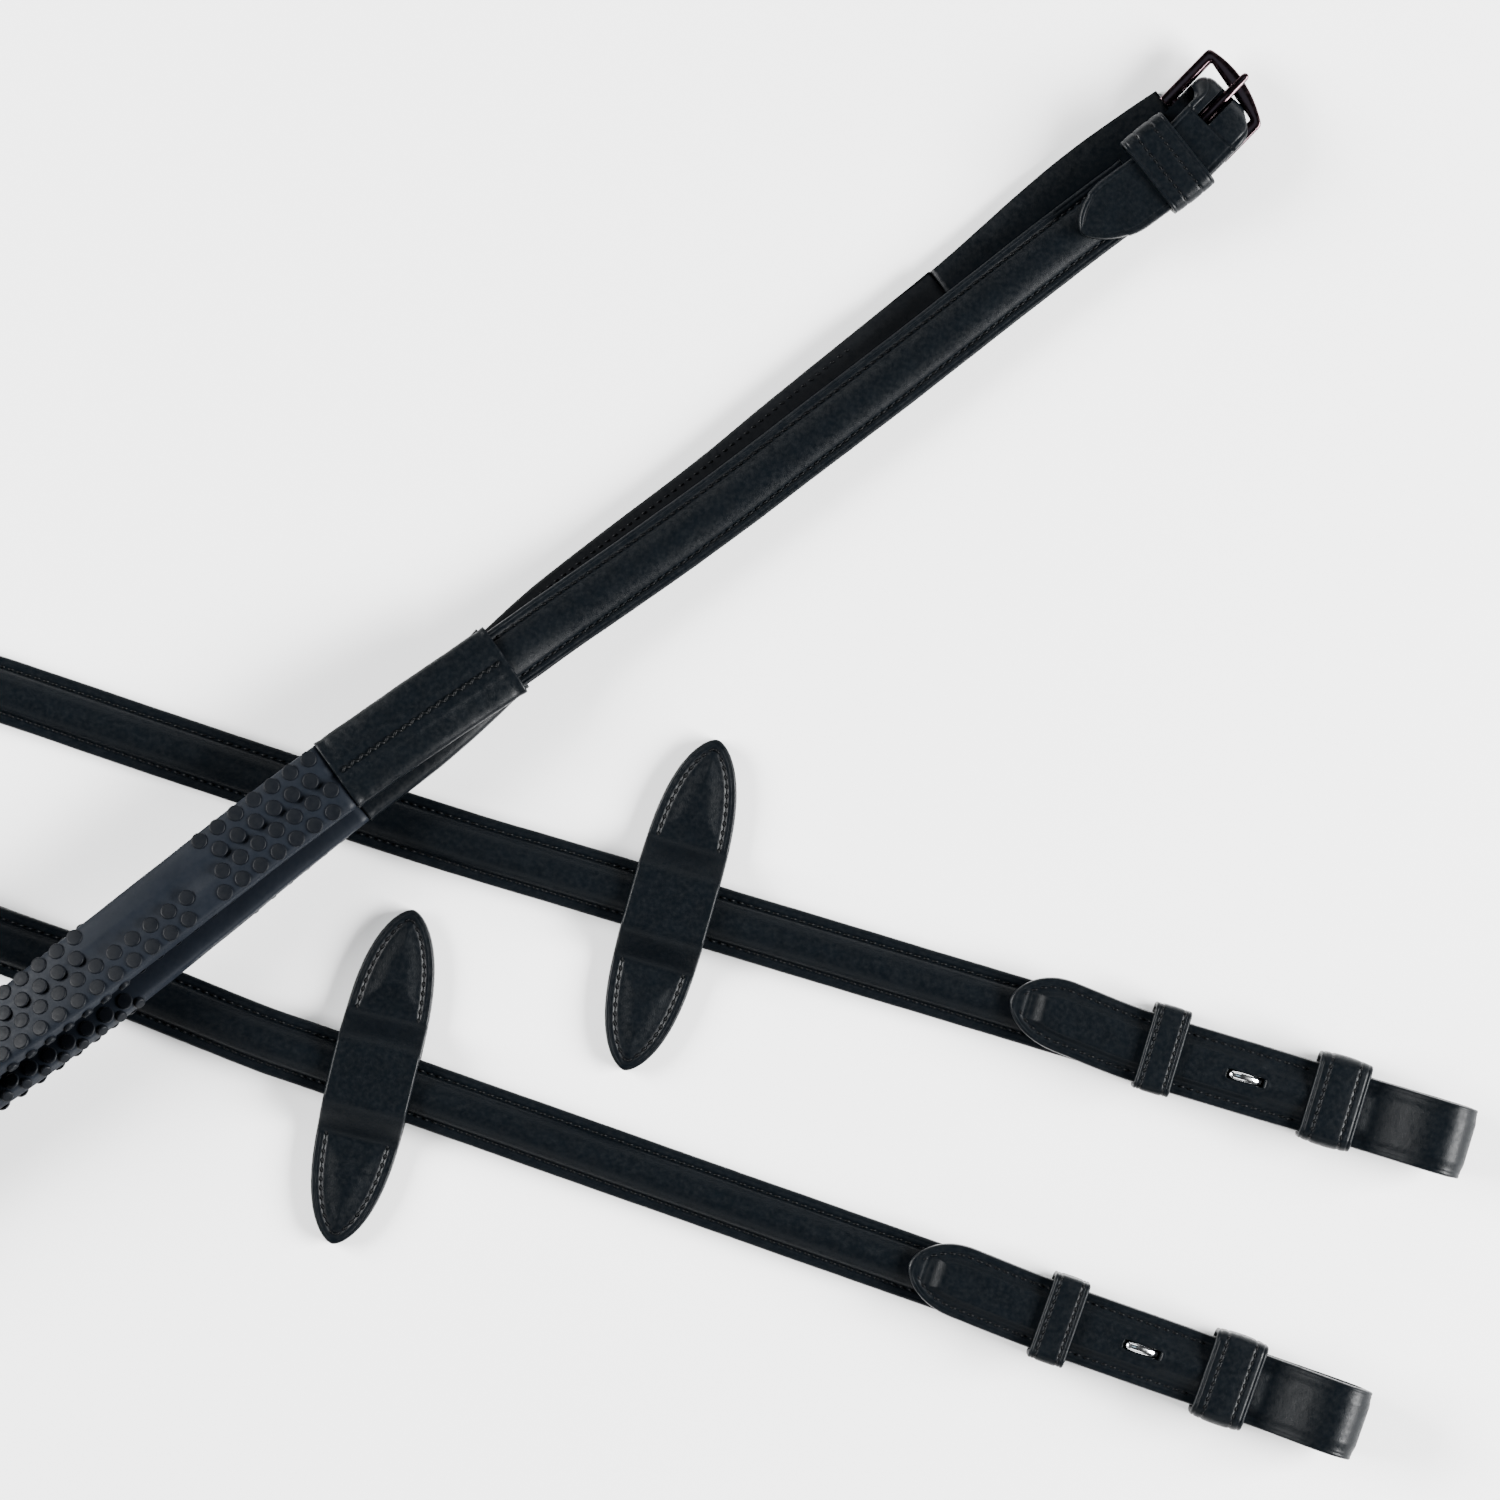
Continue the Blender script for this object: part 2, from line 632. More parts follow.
def sleeve(half, name, s0, s1, seed):
    """Leather sleeve: a rounded tube whose seam runs down the middle of its face, with a
    twisted roll along the seam, slack folds and a turned lip at both ends."""
    hw, ht = 9.7, 3.3
    s = np.linspace(s0, s1, 90)
    angle = np.linspace(0, 2 * math.pi, 96, endpoint=False) - math.pi / 2
    # a superellipse: flat faces and well rounded edges
    c, n = np.cos(angle), np.sin(angle)
    a = hw * np.sign(c) * np.abs(c) ** 0.55
    b = ht * np.sign(n) * np.abs(n) ** 0.5
    loops = np.repeat(np.stack([a, b], -1)[None], len(s), 0)
    face = (loops[..., 1] > 0) * 1.0
    t = ((s - s0) / (s1 - s0))[:, None]
    lip = dent(t, 0.0, 0.022) + dent(t, 1.0, 0.022)
    neck = dent(t, 0.045, 0.02) + dent(t, 0.955, 0.02)
    seam = 0.62 * dent(loops[..., 0], 0, 0.6) - 0.3 * dent(np.abs(loops[..., 0]), 1.9, 1.0)
    slack = 0.16 * np.sin(loops[..., 0] * 0.8 + 2.2 * wander(s, seed)[:, None]) * np.sin(
        math.pi * t) + 0.18 * wander(s * 2.2, seed + 3)[:, None]
    grow = 1 + 0.012 * lip - 0.012 * neck + 0.01 * wander(s, seed + 7)[:, None]
    loops[..., 0] *= grow
    loops[..., 1] += face * (0.12 * lip - 0.12 * neck - seam + 0.5 * slack * (1 - lip))
    Form().grid(half.route.carry(s, loops)).build(
        f"{half.name}_{name}", "leather", "root", half.nodes(name))
    rows = Form()
    run = np.linspace(s0 + 1.2, s1 - 1.2, 60)
    line = half.route.carry(run, np.array([[0.0, ht - 0.5]]))[:, 0]
    normal = half.route.section(run)[3]
    sew(rows, line, normal, 2.5, length=2.3, thick=0.36, slant=30, lift=0.1)
    sew(rows, line[1:-1], normal[1:-1], 2.5, length=2.3, thick=0.36, slant=-30, lift=0.05)
    rows.build(f"{half.name}_{name}_seam", "thread", "root")


class REINS_OT_sleeves(bpy.types.Operator):
    """Build the leather sleeves where the straps meet the grips"""
    bl_idname = "reins.sleeves"
    bl_label = "Sleeves"

    def execute(self, context):
        for seed, half in enumerate(HALVES):
            sleeve(half, "hand_sleeve", SLEEVE_START, GRIP_START, 30 + seed)
            sleeve(half, "bit_sleeve", GRIP_END, SLEEVE_END, 40 + seed)
        return {"FINISHED"}


# ---------------------------------------------------------------- grips

def stud_shape(radius, height, sides=14):
    """A flat round stud: a wall, a small bevel and a flat top, open underneath."""
    angle = np.arange(sides) * 2 * math.pi / sides
    rings = [(radius, -0.35), (radius, height * 0.55), (radius - 0.16, height * 0.92),
             (radius - 0.42, height)]
    verts = np.array([[r * math.cos(q), r * math.sin(q), z] for r, z in rings for q in angle])
    index = np.arange(len(rings) * sides).reshape(len(rings), sides)
    return verts, ring_quads(index), index[-1]


def lay_studs(form, place, along, normal, radius, height):
    """Put a stud at each place, flat on the surface."""
    verts, quads, rim = stud_shape(radius, height)
    x_axis = unit(along - normal * np.sum(along * normal, -1, keepdims=True))
    y_axis = np.cross(normal, x_axis)
    world = (place[:, None] + x_axis[:, None] * verts[:, :1] + y_axis[:, None] * verts[:, 1:2]
             + normal[:, None] * verts[:, 2:])
    offset = (np.arange(len(place)) * len(verts))
    start = form.count
    form.add(world.reshape(-1, 3), (quads[None] + offset[:, None, None]).reshape(-1, 4))
    form.faces += (rim[None] + offset[:, None] + start).tolist()


def grip_outline():
    """Section of a grip: nearly flat faces, rounded edges, and a narrow groove down the
    middle of the face."""
    angle = np.linspace(0, 2 * math.pi, 120, endpoint=False) - math.pi / 2
    c, n = np.cos(angle), np.sin(angle)
    a = GRIP_HALF * np.sign(c) * np.abs(c) ** 0.42
    b = GRIP_RISE * np.sign(n) * np.abs(n) ** 0.42
    # gather a few points closely round the groove
    pull = np.abs(a) < 2.4
    a = np.where(pull, a * np.abs(a / 2.4) ** 0.8, a)
    b -= (b > 0) * 0.75 * dent(a, 0, 0.26)
    return np.stack([a, b], -1)


class REINS_OT_grips(bpy.types.Operator):
    """Build the rubber grips with their rows of flat round studs and middle seam"""
    bl_idname = "reins.grips"
    bl_label = "Rubber Grips"

    def execute(self, context):
        sizes = context.scene.rein_sizes
        pitch = sizes.stud_pitch * 1000
        radius = sizes.stud_size * 500
        for seed, half in enumerate(HALVES):
            s = np.linspace(GRIP_START, GRIP_END, 260)
            loops = np.repeat(grip_outline()[None], len(s), 0)
            loops[..., 0] *= 1 + 0.006 * wander(s, 60 + seed)[:, None]
            # a shallow round dip near the middle of the face, where the studs pause
            dip = dent(np.hypot(s[:, None] - GRIP_START - DIP_AT, loops[..., 0] + 0.8), 0, 3.4)
            loops[..., 1] -= 0.55 * dip * (loops[..., 1] > 0)
            Form().grid(half.route.carry(s, loops)).build(
                f"{half.name}_grip", "rubber", "root",
                half.nodes("grip_rubber"))
            studs = Form()
            count = int((GRIP_END - GRIP_START - 6) / pitch)
            for row, a in enumerate((-7.2, -2.4, 2.4, 7.2)):
                for side in (1, -1):
                    at = GRIP_START + 3.2 + pitch * (np.arange(count) + 0.5 * (row % 2))
                    if half.name == "point" and side < 0:
                        at = at[at > GRIP_START + BACK_START]
                    if side > 0:
                        bare = BARE_LOW if a < 0 else BARE_HIGH
                        at = at[(at < GRIP_START + bare[0]) | (at > GRIP_START + bare[1])]
                    place, along, across_grip, face = half.route.section(at)
                    normal = face * side
                    spot = place + across_grip * a + normal * (GRIP_RISE - 0.05)
                    lay_studs(studs, spot, along, normal, radius, 0.36)
            # one more row on each rounded edge, turned towards the back
            at = GRIP_START + BACK_START + pitch * (np.arange(count) + 0.25)
            at = at[at < GRIP_END - 3]
            place, along, across_grip, face = half.route.section(at)
            for sign in (-1, 1):
                normal = unit(across_grip * sign - face * 0.35)
                spot = place + across_grip * sign * (GRIP_HALF - 0.12) - face * 1.35
                lay_studs(studs, spot, along, normal, radius * 0.75, 0.8)
            studs.build(f"{half.name}_grip_studs", "rubber", "root", finish="studs")
        return {"FINISHED"}


# ---------------------------------------------------------------- rein stops

def leaf_half_width(x, width):
    """Half width of a leaf at x from -1 to 1: nearly straight sides, blunt points."""
    return width / 2 * np.maximum(1 - np.abs(x) ** 3.4, 0) ** 0.62


def leaf_layer(length, width, path_z, thick, puff):
    """One leather leaf along local y. Its middle follows path_z(y); each half has a flat
    stitched margin and a raised middle that ends at the slope of the hump."""
    x = np.sin(np.linspace(-math.pi / 2, math.pi / 2, 190))
    y = x * length / 2
    path = np.stack([np.zeros_like(y), y, path_z(y)], -1)
    half = np.maximum(leaf_half_width(x, width), 0.02)
    slope = np.abs(np.gradient(half, y))
    true = 1 / np.sqrt(1 + slope ** 2)
    p = np.concatenate([-np.linspace(1, 0, 40, endpoint=False) ** 0.8, [0],
                        np.linspace(0, 1, 41)[1:] ** 0.8])
    a = half[:, None] * p
    d = (half[:, None] - np.abs(a)) * true[:, None]
    tip = (length / 2 - np.abs(y))[:, None]
    d = np.minimum(d, tip * 0.9)
    out = np.abs(y)[:, None]
    flat = ease((out - LEAF_FLAT) / 1.6)
    inner = np.minimum(d, 0.75 * (out - 13.4))
    top = thick / 2 + flat * puff * ease((inner - 2.6) / 5.2)
    top -= flat * (0.32 * dent(d, STITCH_INSET, 0.4) + 0.12 * dent(d, 1.1, 0.2))
    top -= (1 - flat) * 0.1 * (a / np.maximum(half[:, None], 1)) ** 2
    top -= edge_round(d, 0.75)
    top = np.maximum(top, -thick / 2 + 0.02)
    under = np.full_like(top, -thick / 2) + 0.2 * np.clip(1 - d / 0.4, 0, 1)
    ring_a, ring_b = closed_rings(a, under, top)
    ring_b[:, len(p) - 1] = 0.5 * (ring_b[:, len(p) - 2] + ring_b[:, len(p)])
    return fold(path, np.stack([ring_a, ring_b], -1))


def leaf_stitches(form, place, length, width, path_z, height):
    """Stitches round each half of a leaf, inside its edge."""
    for sign in (-1, 1):
        q = np.linspace(0, math.pi, 90)
        reach = length / 2 - 2.6
        y = LEAF_FLAT + (reach - LEAF_FLAT) * np.sin(q) ** 0.9
        x_out = leaf_half_width(y / (length / 2), width)
        slope = np.abs(np.gradient(x_out, y + 1e-6 * np.arange(len(y))))
        inset = np.maximum(x_out - STITCH_INSET * np.sqrt(1 + np.clip(slope, 0, 1.6) ** 2), 0)
        x = inset * np.where(q < math.pi / 2, 1, -1)
        line = np.stack([x, sign * y, path_z(y) + height], -1)
        sew(form, place.world(line), UP, 2.25, slant=7)


class REINS_OT_stops(bpy.types.Operator):
    """Build the leaf shaped rein stops that ride on the straps"""
    bl_idname = "reins.stops"
    bl_label = "Rein Stops"

    def execute(self, context):
        sizes = context.scene.rein_sizes
        length, width, thick = sizes.stop_length * 1000, sizes.stop_width * 1000, 2.0
        low = lambda y: np.full_like(y, 1.1)
        high = lambda y: 3.15 + (STRAP_TOP + 0.35 - 2.1) * ease((16.8 - np.abs(y)) / 10.5)
        for half in HALVES:
            place = half.end.turned(half.stop_turn, (-half.stop_at, 0, 0))
            body = f"{half.name}_stop"
            for name, node, slot, path_z, puff in (
                    ("upper", "stop_top", "leather", high, 0.85),
                    ("lower", "stop_bottom", "lining_leather", low, 0.0)):
                grid = leaf_layer(length, width, path_z, thick, puff)
                Form().grid(place.world(grid)).build(
                    f"{half.name}_stop_{name}_leaf", slot, body, half.nodes(node))
            rows = Form()
            leaf_stitches(rows, place, length, width, high, thick / 2 - 0.3)
            rows.build(f"{half.name}_stop_stitches", "thread", body)
        return {"FINISHED"}


# ---------------------------------------------------------------- billets

def billet_path():
    """Side view of a billet, at mid thickness: under the strap, round the ring fold, and
    back over the strap to the tip. Returns x and z."""
    r = 5.8
    lower = np.stack([np.linspace(-PAD_END, -7.2, 20), np.full(20, STRAP_Z + 1.4)], -1)
    q = np.linspace(-math.pi / 2, math.pi / 2, 44)[1:]
    bend = np.stack([-7.2 + r * np.cos(q), 9.7 + r * np.sin(q)], -1)
    x = np.concatenate([np.linspace(-7.6, -30, 50), np.linspace(-30.4, -BILLET_TIP, 230)])
    flat = BILLET_Z + 1.1
    z = flat + (9.7 + r - flat) * (1 - ease((-x - 7.2) / 19.5))
    return np.vstack([lower, bend, np.stack([x, z], -1)])


def billet(half):
    """The billet with its slot, its raised middle, the bulge over the stud's plate and a
    row of stitches along each edge."""
    sizes = bpy.context.scene.rein_sizes
    hw = sizes.billet_width * 500
    path, side, face = side_view(billet_path())
    x = path[:, 0]
    upper = path[:, 2] > 9.0
    from_tip = np.where(upper, x + BILLET_TIP, 200)
    tip = np.clip(1 - from_tip / 15.0, 0, 1)
    half_w = hw * np.maximum(1 - tip ** 2.3, 0) ** 0.62
    half_w = np.maximum(half_w, 0.03) * (1 + 0.004 * wander(x, 70))
    slope = np.abs(np.gradient(half_w, np.arange(len(x)) * 0.39))
    true = 1 / np.sqrt(1 + np.clip(slope, 0, 4) ** 2)
    p = np.unique(np.concatenate([np.linspace(-1, 1, 75), np.linspace(-0.2, 0.2, 27)]))
    a = half_w[:, None] * p
    d = (half_w[:, None] - np.abs(a)) * true[:, None]
    d = np.minimum(d, np.maximum(from_tip[:, None], 0) * 0.55 + 0.01)
    thick = 2.2 + 0.6 * ease((x + 34) / 8)
    on_strap = (upper * ease((-x - 24) / 6))[:, None]
    top = np.repeat((thick / 2)[:, None], len(p), 1)
    top += on_strap * 1.15 * ease((d - 3.1) / 2.2)
    top += (1 - on_strap) * 0.35 * ease((d - 1.8) / 2.4)
    top -= 0.3 * dent(d, 2.45, 0.38) * on_strap + 0.13 * dent(d, 1.1, 0.2)
    # bulge over the plate of the hook stud, and the slot in front of it
    u = x[:, None]
    bulge = ease((u + 56.5) / 5) * ease((-34.0 - u) / 8)
    hump = dent(a, 0, 2.6) - 0.55 * dent(np.abs(a), 4.1, 0.9)
    top += on_strap * 0.85 * bulge * hump
    slot = ease((4.9 - np.abs(u + SLOT_AT)) / 0.5) * ease((1.25 - np.abs(a)) / 0.35)
    rim = dent(np.hypot(np.maximum(np.abs(u + SLOT_AT) - 3.7, 0), a), 1.75, 0.45)
    top += on_strap * (0.22 * rim * (np.abs(u + SLOT_AT) < 7) - 2.3 * slot)
    top -= edge_round(d, 0.8)
    bottom = np.repeat((-thick / 2)[:, None], len(p), 1) + edge_round(d, 0.35)
    top = np.maximum(top, bottom + 0.02)
    ring_a, ring_b = closed_rings(a, bottom, top)
    path[:, 1] += np.where(upper, half.tip_aside * ease((-x - 84) / 30), 0)
    grid = path[:, None] + side[:, None] * ring_a[..., None] + face[:, None] * ring_b[..., None]
    Form().grid(half.end.world(grid)).build(
        f"{half.name}_billet", "leather", "root",
        half.nodes("bit_billet"))
    rows = Form()
    run = np.nonzero(upper & (x < -43))[0]
    for sign in (-1, 1):
        inset = np.maximum(half_w[run] - 2.45 / true[run], 0.0)
        near = np.minimum(from_tip[run], 2.6) / 2.6
        line = path[run] + side[run] * (sign * inset)[:, None]
        line = line + face[run] * (thick[run] / 2 - 0.28)[:, None]
        keep = near >= 1
        sew(rows, half.end.world(line[keep]), face[run][keep], 2.3, slant=7 * sign)
    rows.build(f"{half.name}_billet_stitches", "thread", "root")


def hook_stud(half):
    """The nose of the stud: a rounded bright hook that rises in the slot and points to the
    tip, on its stem and plate."""
    t = np.linspace(0, 1, 40)
    x = -54.4 - 7.6 * ease(t * 1.15 - 0.1)
    z = 9.6 + 3.1 * np.sin(np.clip(t * 1.25, 0, 1) * math.pi / 2) - 0.5 * ease((t - 0.6) / 0.4)
    width = 1.05 * np.sqrt(np.clip(1 - (2 * np.clip(t, 0.02, 0.98) - 1) ** 6, 0, 1)) + 0.02
    width = width * (0.78 + 0.35 * np.sin(math.pi * t))
    q = np.linspace(0, 2 * math.pi, 20, endpoint=False)
    loops = np.stack([width[:, None] * np.cos(q), 0.8 * width[:, None] * np.sin(q)], -1)
    path = np.stack([x, np.zeros_like(x), z], -1)
    along = unit(np.gradient(path, axis=0))
    side = np.array([0, 1.0, 0])
    face = np.cross(along, side)
    grid = path[:, None] + side * loops[..., :1] + face[:, None] * loops[..., 1:]
    form = Form().grid(half.end.world(grid))
    plate = slab_loop(2.8, 0.0, 0.75, 0.3)
    run = np.stack([np.linspace(-61.4, -42.8, 30), np.zeros(30), np.full(30, STRAP_TOP)], -1)
    taper = np.sqrt(np.clip(1 - np.abs(np.linspace(-1, 1, 30)) ** 5, 0.01, 1))
    loops = np.repeat(plate[None], 30, 0) * np.stack([taper, np.ones(30)], -1)[:, None]
    form.grid(half.end.world(fold(run, loops)))
    form.build(f"{half.name}_hook", "nickel", "root",
               half.nodes("hook_stud"))


class REINS_OT_billets(bpy.types.Operator):
    """Build the hook stud billets that fold back round the bit rings"""
    bl_idname = "reins.billets"
    bl_label = "Billets"

    def execute(self, context):
        for half in HALVES:
            billet(half)
            hook_stud(half)
        return {"FINISHED"}


# ---------------------------------------------------------------- keepers

def band_path(width, low, high, r, n=150):
    """Closed path of a leather band in the plane across the strap: a rounded rectangle,
    from the middle of the underside, anticlockwise seen from the bit end."""
    corners = [(width / 2 - r, low + r, -90), (width / 2 - r, high - r, 0),
               (r - width / 2, high - r, 90), (r - width / 2, low + r, 180)]
    points = [[0, low]]
    for y, z, start in corners:
        q = np.radians(start + np.linspace(0, 90, 14))
        points += np.stack([y + r * np.cos(q), z + r * np.sin(q)], -1).tolist()
    points = np.array(points + [[0, low]])
    s = np.concatenate([[0], np.cumsum(np.linalg.norm(np.diff(points, axis=0), axis=1))])
    at = np.linspace(0, s[-1], n, endpoint=False)
    return np.stack([np.interp(at, s, points[:, k]) for k in range(2)], -1)


def band(place, name, at, length, width, low, high, wall, r, crown, body, replaces, seam):
    """A keeper: a band of leather with a crown, creased edges and stitches on its face."""
    yz = band_path(width - wall, low + wall / 2, high - wall / 2, r)
    path = np.stack([np.full(len(yz), at), yz[:, 0], yz[:, 1]], -1)
    back = np.roll(path, 1, 0)
    ahead = np.roll(path, -1, 0)
    along = unit(ahead - back)
    axis = np.array([1.0, 0, 0])
    face = np.cross(along, axis)
    hw = length / 2
    a = across(hw)
    d = hw - np.abs(a)
    outer = wall / 2 + crown * (1 - (a / hw) ** 2) - 0.16 * dent(d, 0.95, 0.22)
    outer = outer - 0.2 * dent(d, seam, 0.34) - edge_round(d, min(0.55, wall / 2))
    ring = outline(a, outer, -wall / 2)
    side = np.cross(face, along)
    grid = path[:, None] + side[:, None] * ring[:, :1] + face[:, None] * ring[:, 1:]
    Form().grid(place.world(grid), wrap_rows=True).build(
        name, "leather", body, replaces)
    rows = Form()
    over = np.nonzero((path[:, 2] > high - wall - 0.4))[0]
    for sign in (-1, 1):
        inset = hw - seam
        height = np.interp(sign * inset, a, outer) - 0.02
        line = path[over] + side[over] * (sign * inset) + face[over] * height
        sew(rows, place.world(line), place.world(face[over]) - place.origin, 1.9,
            length=1.55, thick=0.24, slant=10 * sign)
    rows.build(f"{name}_stitches", "thread", body)


class REINS_OT_keepers(bpy.types.Operator):
    """Build the fixed and sliding keepers of both bit ends"""
    bl_idname = "reins.keepers"
    bl_label = "Keepers"

    def execute(self, context):
        width = context.scene.rein_sizes.keeper_width * 1000
        top = BILLET_Z + 2.2 + 1.2 + 0.3 + 1.3
        for half in HALVES:
            # the keepers of the point half sit a little to one side
            place = half.end.turned(0, (0, 0.8 if half.name == "point" else 0, 0))
            band(place, f"{half.name}_sliding_keeper_band", -80.0, 9.3, width + 0.8, 0.25, top,
                 1.3, 1.5, 0.12, f"{half.name}_slider", half.nodes("sliding_keeper"), 1.75)
            band(place, f"{half.name}_fixed_keeper_band", -35.0, 13.5, width + 0.8, 0.25, top,
                 1.3, 2.4, 0.55, "root", half.nodes("fixed_keeper"), 3.0)
        return {"FINISHED"}


# ---------------------------------------------------------------- hand buckle

def point_tip():
    """End of the point strap: it comes in askew under the fold, turns up through the frame
    with rounded corners, and lies back over the fold, a little to the right, with creased
    edges, a rounded point and a slot for the tongue."""
    hw, thick, bend, aside = POINT_HALF, 3.0, 5.5, 3.0
    u_low = np.linspace(-13.2, 2.0, 16)
    lower = np.stack([u_low, -bend - 0.14 * ease(-u_low / 2)], -1)
    q = np.linspace(-math.pi / 2, math.pi / 2, 60)
    arc = np.stack([2.5 + (bend + 1.6) * np.cos(q), bend * np.sin(q)], -1)
    x_back = np.concatenate([np.linspace(2.0, -26, 38), np.linspace(-26.4, -40, 46)])
    back = np.stack([x_back, bend - 0.9 * ease((-x_back - 16) / 18)], -1)
    path, side, face = side_view(np.vstack([lower, arc, back]))
    row = np.arange(len(path))
    on_top = row >= len(lower) + len(arc)
    below = row < len(lower)
    from_tip = np.where(on_top, path[:, 0] + 40, 60)
    tip = np.clip(1 - from_tip / 13.0, 0, 1)
    half_w = np.maximum(hw * np.maximum(1 - tip ** 1.9, 0) ** 0.66, 0.03)
    half_w += 0.3 * ease((path[:, 2] - 2) / 2.5) * (from_tip > 8)
    # askew below, centred in the frame, aside on top; the tip bends back a little
    u = path[:, 0]
    lean = np.where(below, 0.5 * (2.5 - u), 0)
    lean = lean - aside * ease((path[:, 2] - 1.2) / 3.6) + 0.35 * ease((1.2 - path[:, 2]) / 2)
    lean = lean + np.where(on_top, 0.17 * np.maximum(-u - 13, 0), 0)
    turning = np.where(~on_top & ~below, np.cos(np.clip((row - len(lower)) / 59, 0, 1)
                                                * math.pi - math.pi / 2), 0)
    form = Form()
    slot = (u > 0.6) & (path[:, 2] > -0.6)
    first, last = np.nonzero(slot)[0][[0, -1]]
    n = len(path)

    def strip(rows, left, right):
        """Part of the strap between two edges, as a closed ring at each row. Each corner of
        the turn is pulled back by a quarter circle."""
        p = np.linspace(0, 1, 61)
        a = left[rows, None] + (right - left)[rows, None] * p
        d = np.minimum(half_w[rows, None] - np.abs(a), np.maximum(from_tip[rows, None], 0) * 0.9)
        top = thick / 2 - 0.16 * dent(d, 1.6, 0.25) - edge_round(d, 0.9)
        bottom = -thick / 2 + edge_round(d, 0.5)
        top = np.maximum(top, bottom + 0.02)
        ring_a, ring_b = closed_rings(a, bottom, top)
        grid = (path[rows, None] + side[rows, None] * ring_a[..., None]
                + face[rows, None] * ring_b[..., None])
        grid[..., 1] += lean[rows, None]
        grid[..., 0] -= turning[rows, None] * edge_round(hw + 0.3 - np.abs(ring_a), 4.2)
        form.grid(BAR.world(grid))

    # the slot stays over the tongue, so it runs to the left of the leaning strap
    slot_left = 1.85 - lean
    slot_right = -1.85 - lean
    strip(np.arange(0, first + 1), -half_w, half_w)
    signs = np.sign(side[:, 1])
    low_side = np.where(signs > 0, slot_right, -slot_left)
    high_side = np.where(signs > 0, slot_left, -slot_right)
    strip(np.arange(first, last + 1), -half_w, low_side)
    strip(np.arange(first, last + 1), high_side, half_w)
    strip(np.arange(last, n), -half_w, half_w)
    form.build("point_strap_tip", "leather", "root", ["point_tip"])


def plain_strap():
    """The unpadded stretch of the point strap below the fold."""
    route = HALVES[1].route
    s = np.linspace(POINT_START, PLAIN_END, 44)
    a = across(POINT_HALF)
    d = POINT_HALF - np.abs(a)
    top = 2.5 - 0.13 * dent(d, 1.5, 0.24) - edge_round(d, 0.8)
    loops = np.repeat(outline(a, top, -0.5)[None], len(s), 0)
    loops[..., 1] -= 0.42 * ease((s - 55) / 20)[:, None] * (loops[..., 1] < 0)
    Form().grid(route.carry(s, loops)).build(
        "point_plain_strap", "leather", "root", ["point_strap"])


def buckle_frame():
    """Frame of the hand buckle: a bevelled section between an outer outline with a bowed,
    slightly slanted end bar and a straight-sided window. Both outlines are traced from the
    bar along one side, across the end and back, and joined point by point."""
    half, window, slant = 11.5, 8.4, 0.2
    t = np.linspace(0, 1, 46)
    v = np.linspace(-1, 1, 61)

    def traced(reach, width, bow, corner):
        """Side, end and side of an outline; the corners are softened by a short mean."""
        end = reach - bow * v ** 2 + slant * v * width
        end_line = np.stack([end, v * width], -1)
        low = np.stack([-1.8 + (end[0] + 1.8) * t[:-1], np.full(45, -width)], -1)
        high = np.stack([-1.8 + (end[-1] + 1.8) * t[:-1], np.full(45, width)], -1)[::-1]
        line = np.vstack([low, end_line, high])
        for _ in range(corner):
            line[1:-1] = (line[:-2] + 2 * line[1:-1] + line[2:]) / 4
        return line

    outer = traced(16.0, half, 2.6, 8)
    inner = traced(11.9, window, 0.0, 2)
    shape = [(0, 0.35), (0, 0.7), (0.06, 0.9), (0.16, 1), (0.7, 1), (0.78, 0.93), (0.98, 0.45),
             (1, 0.25), (1, 0), (0.97, -0.4), (0.85, -0.9), (0.7, -1), (0.16, -1),
             (0.05, -0.9), (0, -0.7), (0, -0.3)]
    shape = np.array(shape)[::-1]
    across_bar = outer[:, None] + (inner - outer)[:, None] * shape[:, :1]
    z = np.broadcast_to(1.5 * shape[:, 1:], (len(outer), len(shape), 1))
    grid = np.concatenate([across_bar, z], -1)
    Form().grid(BAR.world(grid)).build(
        "hand_buckle_frame", "gunmetal", "buckle", ["buckle_frame"])


def buckle_tongue():
    """Tongue of the hand buckle: a ring on the bar, and a round arm that leaves its top and
    rests on the end bar with a flattened, upturned point."""
    q = np.linspace(0, 2 * math.pi, 48, endpoint=False)
    ring_path = np.stack([2.25 * np.cos(q), np.zeros(48), 2.25 * np.sin(q)], -1)
    out = unit(ring_path)
    w = np.linspace(0, 2 * math.pi, 16, endpoint=False)
    loops = np.stack([1.9 * np.sign(np.cos(w)) * np.abs(np.cos(w)) ** 0.6, 0.62 * np.sin(w)], -1)
    along = unit(np.roll(ring_path, -1, 0) - np.roll(ring_path, 1, 0))
    side = np.cross(out, along)
    grid = ring_path[:, None] + side[:, None] * loops[:, :1] + out[:, None] * loops[:, 1:]
    form = Form().grid(BAR.world(grid), wrap_rows=True)
    t = np.linspace(0, 1, 50)
    x = 1.2 + 16.6 * t
    z = 2.1 + 0.75 * np.sin(math.pi * np.clip(t * 1.1, 0, 1)) + 0.35 * ease((t - 0.75) / 0.25)
    width = 1.45 - 0.5 * t
    width = width * np.sqrt(np.clip(1 - np.clip((t - 0.9) / 0.1, 0, 1) ** 2.4, 0, 1)) + 0.02
    height = 0.95 - 0.12 * t
    height = height * np.sqrt(np.clip(1 - np.clip((t - 0.93) / 0.07, 0, 1) ** 2.4, 0, 1)) + 0.02
    section = np.stack([np.cos(w), np.sin(w)], -1)
    section = np.sign(section) * np.abs(section) ** 0.8
    loops = section[None] * np.stack([width, height], -1)[:, None]
    path = np.stack([x, np.zeros_like(x), z], -1)
    form.grid(BAR.world(fold(path, loops)))
    form.build("hand_buckle_tongue", "gunmetal", "tongue",
               ["buckle_tongue"])


